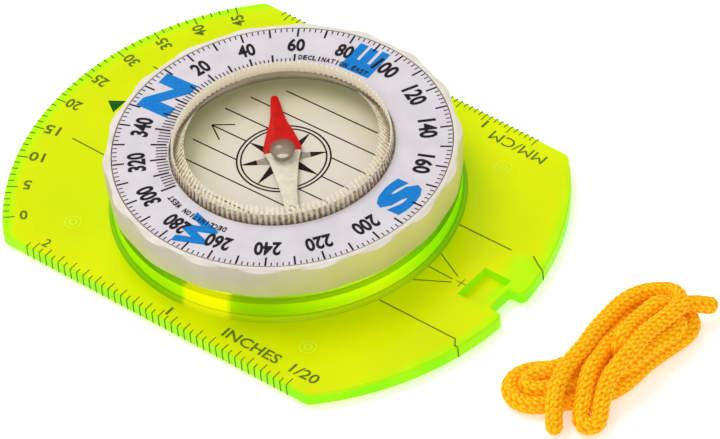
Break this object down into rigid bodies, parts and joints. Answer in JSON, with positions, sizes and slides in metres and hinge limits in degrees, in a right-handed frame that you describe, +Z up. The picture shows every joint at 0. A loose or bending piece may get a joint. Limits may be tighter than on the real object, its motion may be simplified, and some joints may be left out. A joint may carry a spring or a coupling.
{
  "type": "baseplate compass",
  "caption": "Clear lime baseplate compass with a turning white dial bezel, a raised turnable capsule, a pivoted needle and a hank of orange lanyard cord.",
  "frame": {"origin": "middle of the compass's footprint, on the surface that its feet stand on", "axes": "+Y is the direction of travel, towards the front arc; +X is the edge with the metric rule; +Z is up, out of the dial"},
  "size_m": [0.0632, 0.1139, 0.0152],
  "materials": {
    "plate": "clear fluorescent yellow-green acrylic, polished",
    "feet": "soft clear vinyl",
    "spring_steel": "bright drawn steel",
    "bezel": "satin warm white",
    "dial": "satin white, printed in black and blue",
    "lens": "clear polished acrylic with a knurled edge",
    "capsule": "cream plastic",
    "seal": "dull black-brown",
    "floor_print": "cream, printed in black",
    "needle": "red to the north, cream to the south",
    "hub": "clear grey-brown, glossy",
    "brass": "turned brass",
    "cord": "soft knitted polyester cord"
  },
  "bodies": {
    "plate": {"baseplate": "plate", "foot_1": "feet", "foot_2": "feet", "foot_3": "feet", "foot_4": "feet", "retaining_ring": "spring_steel", "lanyard": "cord"},
    "bezel": {"bezel_ring": "bezel", "dial_card": "dial"},
    "capsule": {"capsule_lens": "lens", "capsule_cup": "capsule", "capsule_gasket": "seal", "capsule_friction_ring": "seal", "floor_card": "floor_print", "filler_plug": "capsule", "pivot_seat": "capsule", "pivot_pin": "spring_steel"},
    "needle": {"needle_blade": "needle", "needle_hub": "hub", "jewel_cup": "brass"}
  },
  "joints": [
    {"name": "bezel_turn", "type": "hinge", "parent": "plate", "child": "bezel", "pos_m": [0, -0.00035, 0.006], "axis": [0, 0, 1], "continuous": true},
    {"name": "capsule_turn", "type": "hinge", "parent": "bezel", "child": "capsule", "pos_m": [0, -0.00035, 0.01], "axis": [0, 0, 1], "range_deg": [-62, 58]},
    {"name": "needle_spin", "type": "hinge", "parent": "capsule", "child": "needle", "pos_m": [0, -0.00035, 0.0112], "axis": [0, 0, 1], "continuous": true}
  ]
}
